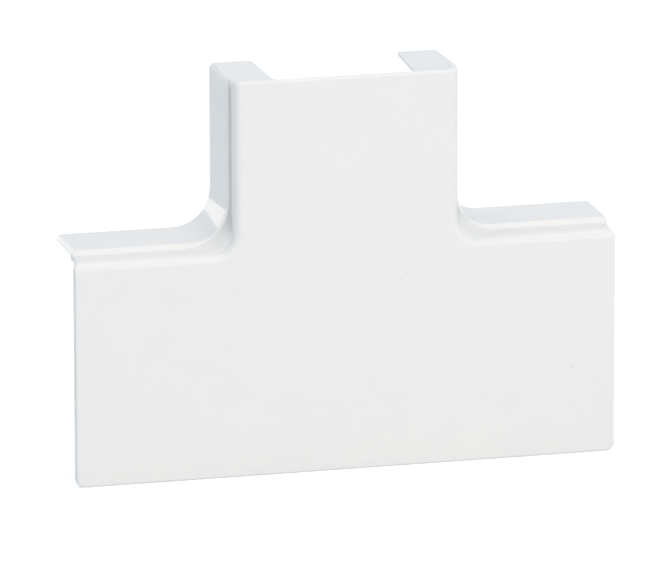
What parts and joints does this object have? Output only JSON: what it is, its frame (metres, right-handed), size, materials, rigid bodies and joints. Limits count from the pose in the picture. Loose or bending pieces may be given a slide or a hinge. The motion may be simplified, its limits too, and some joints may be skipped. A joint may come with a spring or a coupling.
{
  "type": "trunking tee fitting",
  "caption": "White moulded T-shaped cover for flat cable trunking, with a stepped rounded rim, side walls along the branch and shoulders, open ends and a webbed branch mouth.",
  "frame": {"origin": "middle of the lower edge, halfway through the depth", "axes": "+X along the run, +Y from the front face back to the wall, +Z along the branch"},
  "size_m": [0.1018, 0.0166, 0.0741],
  "materials": {
    "cover": "moulded, satin white"
  },
  "bodies": {
    "root": {"tee_cover": "cover"}
  },
  "joints": []
}
